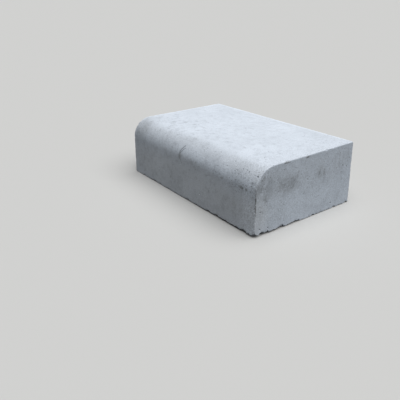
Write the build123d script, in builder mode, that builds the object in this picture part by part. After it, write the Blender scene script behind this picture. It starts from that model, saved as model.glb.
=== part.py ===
"""Concrete kerb stone with a bullnosed road edge, cast face down in a drafted mould.

Frame: X runs along the kerb, Y from the road face (-Y) to the back (+Y), Z up.
The origin is the centre of the as-struck base that the stone lies on. Units are millimetres.
"""

import os

from build123d import *

# Driving dimensions
length = 500.0  # along the kerb line, at the base, where the mould is open and widest
width = 300.0  # from the road face to the back, at the base
height = 150.0  # from the as-struck base to the walking face
nose_radius = 50.0  # bullnose between the road face and the walking face
mould_draft = 1.0  # degrees that each moulded side leans in, so that the stone leaves the mould
arris_radius = 2.0  # blunt edge that the mould's corners leave on every moulded arris

base_plane = Plane.XY

with BuildPart() as kerb_stone:
    # Body: the base outline drawn up to the walking face, with the draft on all four sides
    with BuildSketch(base_plane):
        Rectangle(length, width)
    extrude(amount=height, taper=mould_draft)

    # Bullnose along the whole road edge of the walking face
    road_edge = kerb_stone.edges().filter_by(Axis.X).group_by(Axis.Z)[-1].sort_by(Axis.Y)[0]
    fillet(road_edge, radius=nose_radius)

    # Arrises: each moulded edge is blunted, and the end arrises follow the bullnose round.
    # The base outline keeps the sharp edge that striking off the wet concrete leaves,
    # and the bullnose is already tangent to its two faces, so its own two edges stay as they are.
    struck_edges = kerb_stone.edges().group_by(Axis.Z)[0]
    nose_edges = kerb_stone.faces().filter_by(GeomType.CYLINDER)[0].edges().filter_by(Axis.X)
    moulded_edges = kerb_stone.edges() - struck_edges - nose_edges
    fillet(moulded_edges, radius=arris_radius)

kerb_stone.part.label = "kerb_stone"

os.makedirs("parts", exist_ok=True)
export_step(kerb_stone.part, "parts/kerb_stone.step")
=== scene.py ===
"""The looks of a cast concrete kerb stone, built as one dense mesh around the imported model.

The mesh starts as the plain stone, is made finer where there is something small to show, and is then
worn inwards: waviness, air pores, a hairline, chipped arrises, and the rough base where the wet concrete
was struck off. Everything is in metres in the model's own frame: X along the kerb, -Y the road face, Z up.
"""

import math

import bpy
import numpy as np
from mathutils import Matrix, Vector, kdtree, noise


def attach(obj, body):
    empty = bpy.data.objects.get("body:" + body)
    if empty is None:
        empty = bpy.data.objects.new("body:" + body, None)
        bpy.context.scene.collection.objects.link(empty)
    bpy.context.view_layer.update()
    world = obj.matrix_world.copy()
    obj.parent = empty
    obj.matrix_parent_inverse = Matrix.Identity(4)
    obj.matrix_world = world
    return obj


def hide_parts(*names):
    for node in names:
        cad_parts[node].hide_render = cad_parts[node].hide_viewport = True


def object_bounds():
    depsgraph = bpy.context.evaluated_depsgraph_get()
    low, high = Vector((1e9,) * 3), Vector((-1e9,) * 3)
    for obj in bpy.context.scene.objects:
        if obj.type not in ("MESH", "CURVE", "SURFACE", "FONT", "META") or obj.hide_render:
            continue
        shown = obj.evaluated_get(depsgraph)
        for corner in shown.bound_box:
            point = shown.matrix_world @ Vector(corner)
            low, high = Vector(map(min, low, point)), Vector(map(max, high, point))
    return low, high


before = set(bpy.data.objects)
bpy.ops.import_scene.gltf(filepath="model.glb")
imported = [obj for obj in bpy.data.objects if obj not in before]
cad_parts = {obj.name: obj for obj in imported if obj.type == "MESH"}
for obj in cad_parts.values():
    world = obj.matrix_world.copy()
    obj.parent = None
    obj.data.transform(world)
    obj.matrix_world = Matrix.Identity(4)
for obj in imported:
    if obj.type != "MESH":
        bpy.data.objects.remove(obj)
CAD_LOW, CAD_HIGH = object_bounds()

MM = 0.001

# The plain stone, as in the part's source
LENGTH, WIDTH, HEIGHT = CAD_HIGH - CAD_LOW
NOSE_RADIUS = 50 * MM
ARRIS_RADIUS = 2 * MM
DRAFT = math.radians(1.0)
NOSE_Z = HEIGHT - NOSE_RADIUS
NOSE_Y = -WIDTH / 2 + NOSE_Z * math.tan(DRAFT) + NOSE_RADIUS / math.cos(DRAFT)
SKIN, BACK, END, BASE = range(4)  # columns of the arrays of distances; the moulded surfaces come first
ON_BASE = 0.1 * MM  # points lower than this are on the base

# Lengths of the mesh's edges
FIRST_CELLS = (10, 6, 3)
SCATTER_SIZE = 14 * MM
FACE_SIZE = 9 * MM
BASE_SIZE = 4.2 * MM
ARRIS_SIZE = 1.5 * MM
ARRIS_BAND = 2.5 * MM
HAIRLINE_SIZE = 0.8 * MM
HAIRLINE_BAND = 2 * MM
PORE_SIZE = 0.7  # of the pore's radius
PORE_BAND = 1.2  # of the pore's radius
SIZE_GROWTH = 0.6  # how fast the size may grow with distance from something small
MAX_ROUNDS = 20

# Wear of the moulded faces
BLEND_REACH = 14 * MM  # near an arris the surface is worn along a blend of the two faces' normals
WEAR_STEPS = 24
WAVE = 0.25 * MM
WAVE_CLEAR = 12 * MM  # the waviness dies out over this distance to an arris
BLUNTING = 0.1 * MM
NICKING = 0.9 * MM
BLUNT_REACH = 5 * MM
SHARP_ANGLE = math.radians(48)  # edges sharper than this aren't shaded smooth

# Rough relief of the struck base, with its heights in millimetres
LUMP_HEIGHT = 1.2
TORN_HEIGHT = 1.6
CRUMB_HEIGHT = 0.5
STRUCK_FLAT = 0.25  # share of the base that the striking left nearly flat
STRUCK_SOFTNESS = 0.4
BROKEN_REACH = 7 * MM
BROKEN_HEIGHT = 0.2
BITE_HEIGHT = 3.4
EDGE_CRUMB_HEIGHT = 1.2
SLUMP_HEIGHT = 4.4  # lift of the base towards the near corner of the road face
SLUMP_ACROSS = (-60 * MM, 150 * MM)  # from where to where it grows, towards the road face
SLUMP_ALONG = (-120 * MM, 230 * MM)

# Random pores and chips, with the usual size in millimetres and its spread as a share
PORE_COUNT = 900
PORE_RADIUS = 0.62
PORE_SPREAD = 0.42
PORE_RANGE = (0.4, 2.0)
PORE_DEPTH = 1.1  # of its radius
LARGEST_ON_SKIN = 1.25 * MM
PORES_LARGER_ON_BASE = 2.1
CUT_FROM = 1.0 * MM  # smaller pores aren't cut into the mesh
CUT_FROM_ON_BASE = 2.0 * MM
CHIP_COUNT = 150
CHIP_SIZE = 1.1
CHIP_SPREAD = 0.4
CHIP_STRETCH = (0.8, 2.4)
CHIPS_LARGER_ON_BASE = 1.9
CHIP_ROUGHNESS = 0.35 * MM
CHIP_MARGIN = 8 * MM  # points this much further off are looked at too

# Parts of the stone, from where to where they begin
STEEP_BELOW = (118 * MM, 146 * MM)  # the nose flattens between these heights
NOSE_FOOT = 85 * MM
NEAR_HALF = (90 * MM, 235 * MM)  # along X
END_STRIP = (LENGTH / 2 - 22 * MM, LENGTH / 2 - 6 * MM)  # along X
ARRIS_STRIP = (2 * MM, 11 * MM)  # in from the arris

rng = np.random.default_rng(11)


# The plain stone's surface


def face_distances(points):
    """Signed distances to the skin (top, nose and road face in one), the back, the nearer end and the base.

    The normals that go with them come second.
    """
    x, y, z = points.T
    across, up = y - NOSE_Y, z - NOSE_Z
    turn = np.clip(np.arctan2(up, -across), DRAFT, math.pi / 2)
    flat = np.zeros(len(points))
    lean_out = np.full(len(points), math.cos(DRAFT))
    lean_up = np.full(len(points), math.sin(DRAFT))
    inset = z * math.tan(DRAFT)
    distances = np.stack([
        up * np.sin(turn) - across * np.cos(turn) - NOSE_RADIUS,
        (y - WIDTH / 2 + inset) * lean_out,
        (np.abs(x) - LENGTH / 2 + inset) * lean_out,
        -z,
    ], axis=1)
    normals = np.stack([
        np.stack([flat, -np.cos(turn), np.sin(turn)], axis=1),
        np.stack([flat, lean_out, lean_up], axis=1),
        np.stack([np.sign(x) * lean_out, flat, lean_up], axis=1),
        np.stack([flat, flat, flat - 1], axis=1),
    ], axis=1)
    return distances, normals


def distance_to_arris(distances):
    """How far inside the second nearest face each point lies."""
    return -np.sort(distances, axis=1)[:, -2]


def settle(points):
    """Brings points that lie near the moulded surfaces onto them, rounded arrises included."""
    points = points.copy()
    rows = np.arange(len(points))
    for _ in range(5):
        distances, normals = face_distances(points)
        over = np.maximum(distances[:, :BASE] + ARRIS_RADIUS, 0)
        reach = np.linalg.norm(over, axis=1)
        column = distances[:, :BASE].argmax(axis=1)
        deep = reach == 0
        gap = np.where(deep, distances[rows, column], reach - ARRIS_RADIUS)
        ways = (over[:, :, None] * normals[:, :BASE]).sum(axis=1) / np.maximum(reach, 1e-9)[:, None]
        ways[deep] = normals[rows, column][deep]
        moulded = gap > distances[:, BASE]
        points[moulded] -= (gap[:, None] * ways)[moulded]
    return points


def on_end(y, z):
    """A place on the near end, from millimetres."""
    return LENGTH / 2 - z * MM * math.tan(DRAFT), y * MM, z * MM


def on_top(x, y):
    """A place on the top, from millimetres."""
    return x * MM, y * MM, HEIGHT


def on_road_face(x, z):
    """A place on the road face, from millimetres."""
    return x * MM, -WIDTH / 2 + z * MM * math.tan(DRAFT), z * MM


def on_nose(x, degrees):
    """A place on the nose, from millimetres along it and the angle up from its foot."""
    turn = math.radians(degrees)
    return x * MM, NOSE_Y - NOSE_RADIUS * math.cos(turn), NOSE_Z + NOSE_RADIUS * math.sin(turn)


# Small helpers


def fractal(points, grain, octaves=4, seed=0.0, rough=0.9):
    """Fractal noise from about -1 to 1, with its largest lumps about one grain across."""
    places = (points / grain + seed).tolist()
    return np.array([noise.fractal(place, rough, 2.0, octaves) for place in places])


def ridges(points, grain, octaves=5, seed=0.0):
    """Ridged noise from about 0 to 1: sharp crests between smooth hollows."""
    places = (points / grain + seed).tolist()
    return np.array([noise.ridged_multi_fractal(place, 0.9, 2.1, octaves, 1.0, 2.0) for place in places]) / 2


def smooth_step(values, low, high):
    """0 below low, 1 above high and a smooth rise between, for arrays."""
    t = np.clip((values - low) / (high - low), 0, 1)
    return t * t * (3 - 2 * t)


def make_tree(points):
    tree = kdtree.KDTree(len(points))
    for number, point in enumerate(points.tolist()):
        tree.insert(point, number)
    tree.balance()
    return tree


def nearest(tree, points):
    """For each point, the number of the nearest entry of the tree and the distance to it."""
    found = [tree.find(point)[1:] for point in points.tolist()]
    return np.array([n for n, _ in found]), np.array([d for _, d in found])


def line_distance(points, line):
    """Distance of each point to a line of short runs."""
    best = np.full(len(points), 1.0)
    for start, end in zip(line[:-1], line[1:]):
        run = end - start
        share = np.clip((points - start) @ run / (run @ run), 0, 1)
        best = np.minimum(best, np.linalg.norm(points - start - share[:, None] * run, axis=1))
    return best


# Mesh of the plain stone


def block_mesh(cells):
    """A box of square cells as triangles, its corners drafted and settled onto the plain stone."""
    corners, triangles = {}, []
    for axis in range(3):
        u, v = (axis + 1) % 3, (axis + 2) % 3
        for side in (0, cells[axis]):
            for i in range(cells[u]):
                for j in range(cells[v]):
                    loop = []
                    for a, b in ((0, 0), (1, 0), (1, 1), (0, 1)):
                        spot = [0, 0, 0]
                        spot[axis], spot[u], spot[v] = side, i + a, j + b
                        loop.append(corners.setdefault(tuple(spot), len(corners)))
                    if not side:
                        loop.reverse()
                    if (i + j) % 2:
                        loop = loop[1:] + loop[:1]
                    triangles += [(loop[0], loop[1], loop[2]), (loop[0], loop[2], loop[3])]
    shares = np.array(list(corners), float) / cells
    z = shares[:, 2] * HEIGHT
    inset = 2 * z * math.tan(DRAFT)
    x = (shares[:, 0] - 0.5) * (LENGTH - inset)
    y = (shares[:, 1] - 0.5) * (WIDTH - inset)
    return settle(np.stack([x, y, z], axis=1)), np.array(triangles)


def refine(points, faces, size_at):
    """Cuts triangles at the middle of their longest side until each side is as short as wanted there."""
    for _ in range(MAX_ROUNDS):
        sides = faces[:, [[0, 1], [1, 2], [2, 0]]]
        lengths = np.linalg.norm(points[sides[:, :, 0]] - points[sides[:, :, 1]], axis=2)
        order = (lengths.argmax(axis=1)[:, None] + np.arange(3)) % 3
        faces = np.take_along_axis(faces, order, axis=1)
        pairs = np.sort(faces[:, [[0, 1], [1, 2], [2, 0]]].reshape(-1, 2), axis=1)
        keys, place = np.unique(pairs[:, 0] * len(points) + pairs[:, 1], return_inverse=True)
        place = place.reshape(-1, 3)
        edges = np.stack([keys // len(points), keys % len(points)], axis=1)
        middles = points[edges].mean(axis=1)
        lengths = np.linalg.norm(points[edges[:, 0]] - points[edges[:, 1]], axis=1)
        split = lengths > size_at(middles)
        if not split.any():
            break
        while True:
            behind = split[place].any(axis=1) & ~split[place[:, 0]]
            if not behind.any():
                break
            split[place[behind, 0]] = True
        number = np.where(split, len(points) + np.cumsum(split) - 1, -1)
        points = np.concatenate([points, settle(middles[split])])
        a, b, c = faces.T
        ab, bc, ca = number[place].T
        cut = ab >= 0
        right, left = cut & (bc >= 0), cut & (ca >= 0)
        right_whole, left_whole = cut & (bc < 0), cut & (ca < 0)
        faces = np.concatenate([
            faces[~cut],
            np.stack([ab, b, c], axis=1)[right_whole],
            np.stack([ab, b, bc], axis=1)[right],
            np.stack([ab, bc, c], axis=1)[right],
            np.stack([a, ab, c], axis=1)[left_whole],
            np.stack([a, ab, ca], axis=1)[left],
            np.stack([ca, ab, c], axis=1)[left],
        ])
    return points, faces


def scatter(points, faces, count, density):
    """Random places on the stone, as many to the area as density says."""
    corners = points[faces]
    normals = np.cross(corners[:, 1] - corners[:, 0], corners[:, 2] - corners[:, 0])
    weights = np.linalg.norm(normals, axis=1) * density(corners.mean(axis=1))
    picks = rng.choice(len(faces), count, p=weights / weights.sum())
    shares = rng.dirichlet((1, 1, 1), count)
    return settle((corners[picks] * shares[:, :, None]).sum(axis=1))


# Hairline, pores and chips

HAIRLINE = np.array([
    on_nose(-12, 40), on_nose(-18.5, 29), on_nose(-24.5, 20), on_nose(-26, 11), on_nose(-24.5, 3),
    on_road_face(-21, 97), on_road_face(-15, 88),
])
BRANCH = np.array([on_nose(-7.5, 33), on_nose(-13, 27.5), on_nose(-18, 21), on_nose(-23, 14)])
BRANCH_FINER = 0.2 * MM
HAIRLINE_WIDTH = 1.1 * MM
HAIRLINE_DEPTH = 0.8 * MM

# Pores seen one by one, with the radius in millimetres
PORES_SEEN = [
    (on_nose(240, 39), 1.7), (on_nose(206, 44), 1.3), (on_nose(213, 42), 1.3),
    (on_end(-135, 56), 1.5), (on_end(117, 100), 1.6), (on_end(104, 132), 1.2),
    (on_end(-135, 17), 1.7), (on_end(-112, 14), 1.5), (on_end(-35, 128), 1.3),
]

# Chips seen out of the arrises, and how far each reaches along X, Y and Z in millimetres
CHIPS_SEEN = [
    (on_end(-64, 151), (2.6, 14.0, 3.6)),
    (on_end(-4, 151), (2.4, 8.0, 3.6)),
    (on_end(148, 150), (3.5, 3.5, 3.0)),
    (on_end(-152, 3), (9.0, 10.0, 8.0)),
]


def hairline_distance(points):
    """Distance to the hairline, with its branch made finer by counting as further off."""
    return np.minimum(line_distance(points, HAIRLINE), line_distance(points, BRANCH) + BRANCH_FINER)


def pore_density(points):
    """Air pores gather on the upright faces and low on the nose, most of all towards the near end."""
    face = face_distances(points)[0].argmax(axis=1)
    steep = 1 - smooth_step(points[:, 2], *STEEP_BELOW)
    near = smooth_step(points[:, 0], *NEAR_HALF)
    low_on_nose = steep * (points[:, 2] > NOSE_FOOT)
    density = 0.05 + 0.35 * steep + near * (0.25 + 3.2 * low_on_nose)
    density = np.where(face == BACK, 0.5, density)
    density = np.where(face == END, 0.3, density)
    return np.where(face == BASE, 2.2, density)


def pores_on(points, faces):
    """Middles and radii of the pores that are large enough to be cut into the mesh."""
    middles = scatter(points, faces, PORE_COUNT, pore_density)
    radii = np.exp(rng.normal(math.log(PORE_RADIUS), PORE_SPREAD, PORE_COUNT)).clip(*PORE_RANGE) * MM
    face = face_distances(middles)[0].argmax(axis=1)
    radii = np.where(face == SKIN, np.minimum(radii, LARGEST_ON_SKIN), radii)
    radii = np.where(face == BASE, radii * PORES_LARGER_ON_BASE, radii)
    middles = np.concatenate([settle(np.array([spot for spot, _ in PORES_SEEN])), middles])
    radii = np.concatenate([np.array([radius for _, radius in PORES_SEEN]) * MM, radii])
    cut = radii > np.where(middles[:, 2] < ON_BASE, CUT_FROM_ON_BASE, CUT_FROM)
    return middles[cut], radii[cut]


def arris_line(count):
    """Random places along the stone's arrises."""
    half = np.array([LENGTH, WIDTH, HEIGHT]) / 2
    places = []
    for _ in range(count):
        axis = rng.choice(3, p=[0.46, 0.34, 0.20])
        spot = rng.choice([-1, 1], 3).astype(float)
        spot[axis] = rng.uniform(-1, 1)
        if axis == 0 and spot[1] < 0 and spot[2] > 0:
            spot[2] = -1
        places.append(spot * half + (0, 0, half[2]))
    return settle(np.array(places))


def all_chips():
    """The chips seen and small random ones, larger round the base, as middles and reaches."""
    middles = arris_line(CHIP_COUNT)
    sizes = np.exp(rng.normal(math.log(CHIP_SIZE), CHIP_SPREAD, CHIP_COUNT)) * MM
    sizes = np.where(middles[:, 2] < 1 * MM, sizes * CHIPS_LARGER_ON_BASE, sizes)
    stretch = rng.uniform(*CHIP_STRETCH, (CHIP_COUNT, 3))
    reaches = sizes[:, None] * stretch / np.cbrt(stretch.prod(axis=1))[:, None]
    middles = np.concatenate([np.array([spot for spot, _ in CHIPS_SEEN]), middles])
    reaches = np.concatenate([np.array([reach for _, reach in CHIPS_SEEN]) * MM, reaches])
    return list(zip(middles, reaches))


# Wear


def base_relief(points):
    """How far the struck base lies above the plane that the stone stands on."""
    plan = points * (1, 1, 0)
    x, y = points[:, 0], points[:, 1]
    lumps = fractal(plan, np.array((70, 45, 40)) * MM, octaves=3, seed=31.0)
    torn = ridges(plan, np.array((42, 15, 15)) * MM, octaves=6, seed=37.0)
    crumbs = fractal(plan, 5 * MM, octaves=3, seed=41.0)
    edge = -face_distances(plan)[0][:, :BASE].max(axis=1)
    broken = 1 - smooth_step(edge, 0, BROKEN_REACH)
    bites = smooth_step(fractal(plan, 17 * MM, octaves=4, seed=43.0), 0.0, 0.7)
    slump = smooth_step(-y, *SLUMP_ACROSS) * smooth_step(x, *SLUMP_ALONG)
    on_base = points[:, 2] < ON_BASE
    relief = LUMP_HEIGHT * lumps - TORN_HEIGHT * torn + CRUMB_HEIGHT * crumbs
    relief -= np.quantile(relief[on_base], STRUCK_FLAT)
    relief = STRUCK_SOFTNESS * np.logaddexp(0, relief / STRUCK_SOFTNESS)
    lost_edge = (BROKEN_HEIGHT + BITE_HEIGHT * bites + EDGE_CRUMB_HEIGHT * crumbs).clip(0)
    relief += broken * lost_edge + SLUMP_HEIGHT * slump
    return (relief - relief[on_base].min()) * MM


def moulded_relief(points, to_arris):
    """Waviness of the moulded faces, and the blunting of their arrises."""
    broad = fractal(points, 55 * MM, octaves=3, seed=3.0)
    small = fractal(points, 9 * MM, octaves=3, seed=5.0)
    wave = WAVE * (1 + broad + 0.35 * small).clip(0) * smooth_step(to_arris, 0, WAVE_CLEAR)
    nicks = np.maximum(fractal(points, 7 * MM, octaves=4, seed=9.0), 0)
    blunt = 1 - smooth_step(to_arris, 0, BLUNT_REACH)
    return wave + blunt * (BLUNTING + NICKING * nicks)


def pore_depths(points, tree, radii):
    """How deep the pores are cut at each point, as bowls with uneven rims."""
    number, away = nearest(tree, points)
    rim = 1 + 0.3 * fractal(points, 2.5 * MM, octaves=2, seed=17.0)
    inside = np.maximum(1 - (away / (radii[number] * rim)) ** 2, 0)
    return radii[number] * np.sqrt(inside) * PORE_DEPTH


def wear(points, moulded, struck, chips):
    """Walks each point inwards until it is below the worn surfaces and out of every chip."""
    distances, normals = face_distances(points)
    blend = np.maximum(distances + BLEND_REACH, 0)
    ways = (blend[:, :, None] * normals).sum(axis=1)
    ways /= np.linalg.norm(ways, axis=1)[:, None]

    rough = fractal(points, 3.2 * MM, octaves=3, seed=23.0) * CHIP_ROUGHNESS
    chipped = []
    for middle, reach in chips:
        close = np.abs(points - middle).max(axis=1) < reach.max() * 1.3 + CHIP_MARGIN
        chipped.append((np.flatnonzero(close), middle, reach))

    travel = np.zeros(len(points))
    for _ in range(WEAR_STEPS):
        spots = points - ways * travel[:, None]
        distances, _ = face_distances(spots)
        over = np.maximum(distances[:, :BASE] + moulded[:, None] + ARRIS_RADIUS, 0)
        gap = np.maximum(np.linalg.norm(over, axis=1) - ARRIS_RADIUS, distances[:, BASE] + struck)
        for close, middle, reach in chipped:
            shell = np.linalg.norm((spots[close] - middle) / reach, axis=1)
            gap[close] = np.maximum(gap[close], (1 - shell) * reach.min() + rough[close])
        travel += np.maximum(gap, 0)
    return points - ways * travel[:, None]


def build_stone():
    """The worn stone's points, triangles and the masks that its material reads."""
    coarse = refine(*block_mesh(FIRST_CELLS), lambda spots: np.full(len(spots), SCATTER_SIZE))
    pores, radii = pores_on(*coarse)
    pore_tree = make_tree(pores)
    chips = all_chips()

    def size_at(spots):
        distances, _ = face_distances(spots)
        from_band = np.maximum(distance_to_arris(distances) - ARRIS_BAND, 0)
        size = np.minimum(ARRIS_SIZE + from_band * SIZE_GROWTH, FACE_SIZE)
        size = np.where(distances.argmax(axis=1) == BASE, np.minimum(size, BASE_SIZE), size)
        number, away = nearest(pore_tree, spots)
        from_pore = np.maximum(away - radii[number] * PORE_BAND, 0)
        size = np.minimum(size, radii[number] * PORE_SIZE + from_pore * SIZE_GROWTH)
        from_line = np.maximum(hairline_distance(spots) - HAIRLINE_BAND, 0)
        return np.minimum(size, HAIRLINE_SIZE + from_line * SIZE_GROWTH)

    points, faces = refine(*block_mesh(FIRST_CELLS), size_at)
    distances, _ = face_distances(points)
    to_arris = distance_to_arris(distances)
    pore = pore_depths(points, pore_tree, radii)
    crack = np.maximum(1 - (hairline_distance(points) / HAIRLINE_WIDTH) ** 2, 0)
    moulded = moulded_relief(points, to_arris) + pore + crack * HAIRLINE_DEPTH
    near_end = smooth_step(points[:, 0], *END_STRIP)
    on_skin = distances.argmax(axis=1) == SKIN
    masks = {
        "pore": pore,
        "crack": crack,
        "struck": points[:, 2] < ON_BASE,
        "arris": (1 - smooth_step(to_arris, *ARRIS_STRIP)) * (1 - near_end),
        "pinholes": (pore_density(points) / 3 + 0.25 * near_end * on_skin).clip(0, 1),
    }
    return wear(points, moulded, base_relief(points) + pore, chips), faces, masks


# Stains, and painted light and shade

# Wide smudges, and some patches of painted light and painted shade on the nose and road face: middle, how
# far each reaches along X, Y and Z in millimetres, and how much darker it makes the concrete. A lighter
# patch has a negative number there.
SMUDGES_AND_PAINTED_SHADING = [
    (on_end(-55, 96), (20, 46, 30), 0.20),
    (on_end(43, 103), (20, 22, 22), 0.15),
    (on_end(-95, 112), (30, 75, 45), 0.14),
    (on_end(-130, 88), (30, 34, 60), 0.12),
    (on_end(20, 135), (30, 90, 26), 0.07),
    (on_end(110, 118), (30, 40, 34), 0.08),
    (on_end(-50, 65), (30, 190, 100), 0.035),
    (on_end(-110, 62), (30, 75, 85), 0.07),
    (on_end(-143, 45), (14, 16, 90), 0.06),
    (on_end(25, 98), (30, 130, 45), 0.06),
    (on_end(95, 90), (30, 60, 26), 0.05),
    (on_end(125, 32), (30, 34, 36), -0.07),
    (on_road_face(60, 96), (200, 14, 12), 0.05),
    (on_road_face(183, 50), (9, 12, 30), 0.10),
    (on_road_face(205, 62), (9, 12, 34), 0.08),
    (on_road_face(203, 92), (10, 12, 12), 0.08),
    # Painted shade: the middle of the road face is made darker
    (on_road_face(150, 50), (45, 12, 40), 0.03),
    (on_nose(-100, 40), (150, 30, 26), 0.07),
    (on_nose(-225, 40), (60, 34, 30), 0.13),
    (on_nose(-15, 74), (75, 32, 20), 0.055),
    # Painted shade: a long band along the nose is made darker
    (on_nose(90, 48), (220, 26, 20), 0.03),
    (on_nose(236, 58), (44, 32, 32), 0.045),
    # Painted shade: the nose is made darker high up towards the near end
    (on_nose(190, 52), (80, 28, 24), 0.08),
    (on_nose(20, 66), (60, 22, 16), 0.08),
    # Painted light: these two make the foot of the nose lighter
    (on_nose(130, 14), (118, 30, 22), -0.11),
    (on_nose(20, 24), (120, 18, 16), -0.11),
    (on_nose(-235, 45), (75, 60, 60), 0.15),
    # Painted shade: a long band along the nose is made darker
    (on_nose(0, 58), (300, 20, 16), 0.05),
    (on_nose(-185, 54), (70, 30, 22), 0.04),
    (on_top(60, 30), (230, 130, 60), -0.02),
]

# Small marks, in the same form, with painted shade in two chips
MARKS_AND_PAINTED_CHIP_SHADE = [
    (on_end(-126, 128), (6, 5, 9), 0.20),
    (on_end(-132, 120), (6, 5, 9), 0.24),
    (on_end(-134, 103), (6, 4, 10), 0.18),
    (on_end(-142, 106), (8, 9, 24), 0.15),
    (on_end(-29, 115), (6, 8, 11), 0.12),
    (on_end(-110, 122), (6, 6, 12), 0.08),
    (on_end(-122, 82), (6, 8, 14), 0.14),
    (on_end(53, 97), (6, 4, 9), 0.22),
    (on_end(39, 101), (6, 4, 9), 0.20),
    (on_end(-43, 89), (6, 5, 8), 0.18),
    (on_end(103, 120), (6, 3, 22), 0.14),
    # Painted shade in the two chips out of the top arris of the end
    (on_end(-64, 147), (5, 13, 3.4), 0.75),
    (on_end(-4, 146), (5, 7.5, 3.6), 0.80),
    (on_end(-148, 84), (2.6, 2.6, 44), 0.7),
    (on_nose(203, 0), (11, 8, 4.5), 0.55),
    (on_road_face(219, 99), (5, 7, 3.5), 0.50),
    (on_nose(138, 0), (7, 7, 4), 0.30),
    (on_nose(43, 8), (5, 6, 4), 0.30),
    (on_nose(-23, 9), (8, 8, 15), 0.36),
    (on_nose(24, 5), (17, 8, 9), 0.15),
    (on_top(-130, -56), (10, 6, 6), 0.14),
    (on_top(-62, -48), (22, 5, 6), 0.16),
    (on_top(-140, 37), (9, 6, 6), 0.12),
    (on_top(26, 39), (7, 5, 6), 0.16),
    (on_top(77, -1), (8, 5, 6), 0.12),
    (on_top(125, -24), (10, 5, 6), 0.13),
    (on_top(150, 7), (6, 4, 6), 0.12),
    (on_top(126, -74), (8, 5, 6), 0.13),
]


# Materials


class Shader:
    """Builds a node tree with one short call for each node."""

    def __init__(self, tree):
        self.tree = tree

    def put(self, socket, value):
        """Links a socket to the value if that is one too, and otherwise sets it."""
        if isinstance(value, bpy.types.NodeSocket):
            self.tree.links.new(value, socket)
        else:
            socket.default_value = value

    def node(self, kind, inputs=(), **settings):
        made = self.tree.nodes.new(kind)
        for name, value in settings.items():
            setattr(made, name, value)
        for name, value in dict(inputs).items():
            self.put(made.inputs[name], value)
        return made

    def math(self, operation, first, second=0.0, third=0.0, clamp=False):
        inputs = {0: first, 1: second, 2: third}
        return self.node("ShaderNodeMath", inputs, operation=operation, use_clamp=clamp).outputs[0]

    def product(self, first, *others):
        for other in others:
            first = self.math("MULTIPLY", first, other)
        return first

    def plus(self, start, mask, strength):
        """The start value, and the given strength more where the mask is 1."""
        return self.math("MULTIPLY_ADD", mask, strength, start)

    def vector(self, operation, first, second=(0, 0, 0)):
        return self.node("ShaderNodeVectorMath", {0: first, 1: second}, operation=operation).outputs

    def span(self, value, low, high, to_low=0.0, to_high=1.0):
        """Maps low..high smoothly to to_low..to_high."""
        inputs = {"Value": value, "From Min": low, "From Max": high, "To Min": to_low, "To Max": to_high}
        return self.node("ShaderNodeMapRange", inputs, interpolation_type="SMOOTHSTEP").outputs[0]

    def mix(self, amount, first, second, blend="MIX"):
        made = self.node("ShaderNodeMix", data_type="RGBA", blend_type=blend)
        self.put(made.inputs[0], amount)
        self.put(made.inputs[6], first)
        self.put(made.inputs[7], second)
        return made.outputs[2]

    def mask(self, name):
        return self.node("ShaderNodeAttribute", attribute_name=name).outputs["Fac"]

    def noise(self, place, grain, detail=3.0, rough=0.55):
        """Noise with lumps about one grain across, in metres."""
        inputs = {"Vector": place, "Scale": 1 / grain, "Detail": detail, "Roughness": rough}
        return self.node("ShaderNodeTexNoise", inputs).outputs["Fac"]

    def stretched(self, place, scale):
        return self.node("ShaderNodeMapping", {"Vector": place, "Scale": scale}).outputs[0]

    def bent(self, place, grain, amount):
        """The place, pushed about by noise, so that what is drawn there gets ragged outlines."""
        pushes = self.node("ShaderNodeTexNoise", {"Vector": place, "Scale": 1 / grain, "Detail": 3.0})
        push = self.vector("SUBTRACT", pushes.outputs["Color"], (0.5, 0.5, 0.5))[0]
        push = self.vector("MULTIPLY", push, (2 * amount, 2 * amount, 2 * amount))[0]
        return self.vector("ADD", place, push)[0]

    def spot(self, place, middle, reach):
        """1 in the middle of an ellipsoid, falling to 0 at its skin. The reach is in millimetres."""
        away = self.vector("SUBTRACT", place, middle)[0]
        away = self.vector("DIVIDE", away, Vector(reach) * MM)[0]
        return self.span(self.vector("LENGTH", away)["Value"], 0.3, 1.0, 1.0, 0.0)

    def spots(self, place, listed):
        """The sum of spots listed as middle, reach and strength."""
        total = 0.0
        for middle, reach, strength in listed:
            total = self.plus(total, self.spot(place, middle, reach), strength)
        return total

    def dots(self, place, spacing, size, share):
        """Small round dots, no closer than about one spacing, in a share of the places for one."""
        cells = self.node("ShaderNodeTexVoronoi", {"Vector": place, "Scale": 1 / spacing})
        chance = self.node("ShaderNodeSeparateColor", {0: cells.outputs["Color"]})
        reach = self.plus(0.4 * size / spacing, chance.outputs["Green"], size / spacing)
        inside = self.span(self.math("DIVIDE", cells.outputs["Distance"], reach), 0.7, 1.1, 1.0, 0.0)
        return self.product(inside, self.math("LESS_THAN", chance.outputs["Red"], share))

    def lighter(self, tone, mask, strength):
        """The tone, and the given share of it more where the mask is 1."""
        return self.product(tone, self.plus(1.0, mask, strength))

    def darker(self, tone, mask, strength=1.0):
        """The tone, less the given share of it where the mask is 1."""
        return self.lighter(tone, mask, -strength)


CONCRETE_GREY = 0.731
COOL_TINT = (0.92, 1.0, 1.105)  # of the top and nose
# The upright faces are made bluer: a painted tint of the light in shade
PAINTED_SHADE_SIDE_TINT = (0.902, 1.0, 1.122)  # of the upright faces
WARM_TINT = (0.94, 1.0, 1.06)  # of stains, and low on the road face

# The share of the tone that each of these takes away or adds
# painted shade: the upright faces are made darker
PAINTED_SIDE_SHADE = 0.03
RUN_SHADE = 0.14
# The next three darken hollows: painted shade
PINHOLE_SHADE = 0.45
PORE_SHADE = 0.52
CRACK_SHADE = 0.55
# partly wear, partly a painted highlight along the arrises
ARRIS_WEAR_AND_HIGHLIGHT = 0.22
# painted light: the near corner of the road face is made lighter
PAINTED_ROAD_CORNER_LIGHT = 0.2


def grey(value, tint):
    return tuple(value * share for share in tint) + (1.0,)


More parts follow.
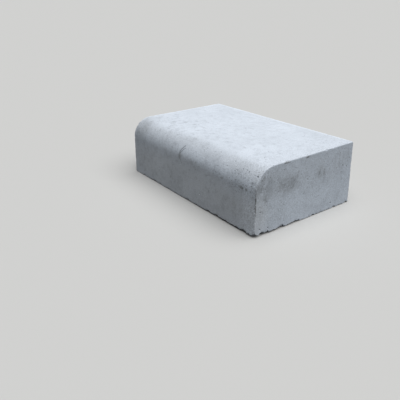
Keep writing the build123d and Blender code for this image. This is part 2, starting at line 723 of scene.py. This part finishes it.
class Concrete(Shader):
    """The noises and masks that the concrete's colour and relief share."""

    def __init__(self, tree):
        super().__init__(tree)
        self.place = self.node("ShaderNodeTexCoord").outputs["Object"]
        self.ragged = self.bent(self.place, 11 * MM, 5 * MM)
        self.along, _, self.up = self.node("ShaderNodeSeparateXYZ", {0: self.place}).outputs
        facing = self.node("ShaderNodeNewGeometry").outputs["Normal"]
        _, facing_back, facing_up = self.node("ShaderNodeSeparateXYZ", {0: facing}).outputs
        self.upright = self.span(self.math("ABSOLUTE", facing_up), 0.1, 0.8, 1.0, 0.0)
        self.nose = self.spot(self.place, on_nose(0, 40), (900, 42, 42))
        self.far_nose = self.spot(self.place, on_top(-150, -85), (260, 110, 60))
        # The near corner of the road face, made lighter in tone as painted light; it also gets a stronger
        # speckle
        self.road_corner_painted_light = self.product(
            self.spot(self.place, on_road_face(250, 50), (58, 30, 110)),
            self.span(facing_back, -0.95, -0.7, 1.0, 0.0),
        )
        self.mottle = self.noise(self.ragged, 17 * MM, 5.0, 0.62)
        self.speckle = self.noise(self.place, 2.6 * MM, 2.0, 0.7)
        self.sand = self.noise(self.place, 1.1 * MM, 2.0, 0.6)
        self.pinholes = self.dots(self.place, 4.2 * MM, 0.95 * MM, self.mask("pinholes"))

    def stains_and_painted_shading(self):
        """The smudges and marks, with the painted light and painted shade among them, broken up by a finer
        noise.
        """
        marks = self.spots(self.bent(self.place, 4 * MM, 1.6 * MM), MARKS_AND_PAINTED_CHIP_SHADE)
        smear = self.span(self.noise(self.ragged, 6 * MM, 4.0, 0.65), 0.3, 0.62, 0.45, 1.0)
        return self.product(self.math("ADD", self.spots(self.ragged, SMUDGES_AND_PAINTED_SHADING), marks), smear)

    def runs(self):
        """Streaks in patches down the upper half of the upright faces."""
        streaks = self.noise(self.stretched(self.ragged, (1.0, 1.0, 0.14)), 7 * MM, 4.0, 0.6)
        patches = self.span(self.noise(self.place, 48 * MM, 2.0, 0.5), 0.42, 0.6)
        high = self.span(self.up, 50 * MM, 125 * MM)
        return self.product(self.span(streaks, 0.48, 0.68), patches, self.upright, high)

    def arris_wear_and_highlight(self):
        """The broken light line along the arrises of the top and nose: partly paler wear, partly a painted
        highlight.
        """
        high = self.span(self.up, 108 * MM, 125 * MM)
        lying = self.math("SUBTRACT", 1.0, self.upright)
        return self.product(self.mask("arris"), high, lying, self.span(self.mottle, 0.3, 0.55, 0.5, 1.0))

    def tone(self, stains_and_painted_shading):
        """How light the concrete is, about 1 all over."""
        tone = self.span(self.noise(self.place, 85 * MM, 4.0, 0.6), 0.3, 0.7, 0.94, 1.03)
        patchiness = self.plus(self.plus(0.08, self.upright, 0.04), self.far_nose, 0.08)
        tone = self.darker(tone, self.product(self.span(self.mottle, 0.48, 0.68), patchiness))
        flecks = self.noise(self.bent(self.place, 5 * MM, 3 * MM), 8 * MM, 4.0, 0.6)
        fleck_shade = self.plus(self.plus(0.15, self.far_nose, 0.12), self.mask("struck"), 0.15)
        tone = self.darker(tone, self.product(self.span(flecks, 0.56, 0.72), fleck_shade))
        # Painted shade: the upright faces are made darker
        tone = self.darker(tone, self.upright, PAINTED_SIDE_SHADE)
        tone = self.darker(tone, self.runs(), RUN_SHADE)
        # Stains, with patches of painted light and painted shade
        tone = self.darker(tone, stains_and_painted_shading)
        sparkle = self.plus(0.35, self.span(self.along, 140 * MM, 246 * MM), 0.5)
        sparkle = self.plus(self.plus(sparkle, self.nose, 0.35), self.road_corner_painted_light, 0.6)
        speckled = self.plus(1.0, self.math("SUBTRACT", self.speckle, 0.5), sparkle)
        tone = self.product(tone, speckled, self.span(self.sand, 0.2, 0.8, 0.9, 1.1))
        # Lighter along the arrises of the top and nose: partly wear, partly a painted highlight
        tone = self.lighter(tone, self.arris_wear_and_highlight(), ARRIS_WEAR_AND_HIGHLIGHT)
        # Painted light: the near corner of the road face is made lighter
        tone = self.lighter(tone, self.road_corner_painted_light, PAINTED_ROAD_CORNER_LIGHT)
        # Pinholes, pores and the hairline made darker: painted shade in these hollows
        tone = self.darker(tone, self.pinholes, PINHOLE_SHADE)
        tone = self.darker(tone, self.span(self.mask("pore"), 0.0, 1.1 * MM), PORE_SHADE)
        return self.darker(tone, self.mask("crack"), CRACK_SHADE)

    def colour(self):
        """A cool grey, bluer on the upright faces as a painted tint of shade, and warmer in the stains, in
        the painted shade among them and low on the road face.
        """
        stains_and_painted_shading = self.stains_and_painted_shading()
        road_side = self.spot(self.place, on_road_face(0, 40), (500, 60, 90))
        warmth = self.math("MULTIPLY_ADD", road_side, 0.7, self.product(stains_and_painted_shading, 1.2), clamp=True)
        # Bluer on the upright faces: painted tint of shade
        cool = self.mix(self.upright, grey(CONCRETE_GREY, COOL_TINT), grey(CONCRETE_GREY, PAINTED_SHADE_SIDE_TINT))
        tinted = self.mix(warmth, cool, grey(CONCRETE_GREY, WARM_TINT))
        return self.mix(1.0, tinted, self.tone(stains_and_painted_shading), "MULTIPLY")

    def relief(self):
        """The grain that is too fine to be cut into the mesh."""
        height = self.plus(self.product(self.mottle, 0.8), self.speckle, 0.5)
        height = self.plus(self.plus(height, self.sand, 0.3), self.pinholes, -0.9)
        bump = {"Height": height, "Strength": 0.8, "Distance": 0.8 * MM}
        return self.node("ShaderNodeBump", bump).outputs[0]


def new_material(name, kind=Shader):
    material = bpy.data.materials.new(name)
    material.use_nodes = True
    material.node_tree.nodes.clear()
    return material, kind(material.node_tree)


def concrete_material():
    material, shader = new_material("cast_concrete", Concrete)
    surface = shader.node("ShaderNodeBsdfPrincipled", {
        "Base Color": shader.colour(),
        "Roughness": shader.span(shader.mottle, 0.2, 0.8, 0.82, 0.95),
        "Specular IOR Level": 0.3,
        "Normal": shader.relief(),
    })
    shader.node("ShaderNodeOutputMaterial", {"Surface": surface.outputs[0]})
    return material


def seen_directly(shader):
    """1 for what the camera sees, by itself, in gloss or through something clear, and 0 for its light."""
    path = shader.node("ShaderNodeLightPath").outputs
    seen = shader.math("ADD", path["Is Camera Ray"], path["Is Glossy Ray"])
    return shader.math("ADD", seen, path["Is Transmission Ray"], clamp=True)


def floor_material(shown, bounced):
    """Pale as seen, and duller in the light that it sends back up."""
    material, shader = new_material("plain_floor")
    colour = shader.mix(seen_directly(shader), bounced, shown)
    surface = shader.node("ShaderNodeBsdfDiffuse", {"Color": colour})
    shader.node("ShaderNodeOutputMaterial", {"Surface": surface.outputs[0]})
    return material


# The piece


def add_object(name, data):
    made = bpy.data.objects.new(name, data)
    bpy.context.scene.collection.objects.link(made)
    return made


def add_stone():
    points, faces, masks = build_stone()
    mesh = bpy.data.meshes.new("kerb_stone_cast")
    mesh.from_pydata(points.tolist(), [], faces.tolist())
    mesh.validate()
    for name, values in masks.items():
        mesh.attributes.new(name, "FLOAT", "POINT").data.foreach_set("value", values.astype(np.float32))
    mesh.shade_smooth()
    mesh.set_sharp_from_angle(angle=SHARP_ANGLE)
    mesh.materials.append(concrete_material())
    stone = add_object("kerb_stone_cast", mesh)
    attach(stone, "root")
    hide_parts("kerb_stone")


# Floor, light and camera

FLOOR_SIZE = 120.0
BACKDROP = (0.64, 0.64, 0.63, 1.0)
FLOOR_SHOWN = (0.60, 0.60, 0.59, 1.0)  # lit, it comes out as the backdrop
FLOOR_BOUNCED = (0.14, 0.14, 0.14, 1.0)

SKY_ENERGY = 3.15
SKY_WIDTH = math.radians(76)
SKY_TILT_X = math.radians(17)
SKY_TILT_Y = math.radians(5.7)
FILL_COLOUR = (0.96, 0.98, 1.0, 1.0)
FILL_STRENGTH = 0.11

CAMERA_PLACE = Vector((0.8556, -0.7164, 0.4679))
CAMERA_WAY = Vector((-0.7395, 0.5273, -0.4167))
CAMERA_UP = Vector((-0.3300, 0.2560, 0.9090))
FOCAL_PIXELS = 459.0
IMAGE_PIXELS = 400.0  # width of the photograph
SENSOR = 36.0


def add_floor():
    half = FLOOR_SIZE / 2
    corners = [(-half, -half, 0), (half, -half, 0), (half, half, 0), (-half, half, 0)]
    mesh = bpy.data.meshes.new("floor")
    mesh.from_pydata(corners, [], [(0, 1, 2, 3)])
    mesh.materials.append(floor_material(FLOOR_SHOWN, FLOOR_BOUNCED))
    add_object("floor", mesh)


def add_light():
    """One very soft light from above, tilted towards the near end and the back."""
    light = bpy.data.lights.new("soft_sky", "SUN")
    light.energy = SKY_ENERGY
    light.angle = SKY_WIDTH
    source = Vector((math.tan(SKY_TILT_X), math.tan(SKY_TILT_Y), 1))
    add_object("soft_sky", light).rotation_euler = source.to_track_quat("Z", "Y").to_euler()


def add_surround():
    """A dim fill all round, which is seen as the backdrop."""
    world = bpy.data.worlds.new("surround")
    world.use_nodes = True
    world.node_tree.nodes.clear()
    shader = Shader(world.node_tree)
    fill = shader.node("ShaderNodeBackground", {"Color": FILL_COLOUR, "Strength": FILL_STRENGTH})
    shown = shader.node("ShaderNodeBackground", {"Color": BACKDROP, "Strength": 1.0})
    both = {0: seen_directly(shader), 1: fill.outputs[0], 2: shown.outputs[0]}
    mixed = shader.node("ShaderNodeMixShader", both)
    shader.node("ShaderNodeOutputWorld", {"Surface": mixed.outputs[0]})
    bpy.context.scene.world = world


def add_camera():
    data = bpy.data.cameras.new("camera")
    data.sensor_width = SENSOR
    data.lens = FOCAL_PIXELS * SENSOR / IMAGE_PIXELS
    back = -CAMERA_WAY.normalized()
    right = CAMERA_UP.cross(back).normalized()
    turn = Matrix((right, back.cross(right), back)).transposed()
    camera = add_object("camera", data)
    camera.matrix_world = Matrix.Translation(CAMERA_PLACE) @ turn.to_4x4()
    bpy.context.scene.camera = camera


add_stone()
add_floor()
add_light()
add_surround()
add_camera()
bpy.context.scene.view_settings.view_transform = "Standard"
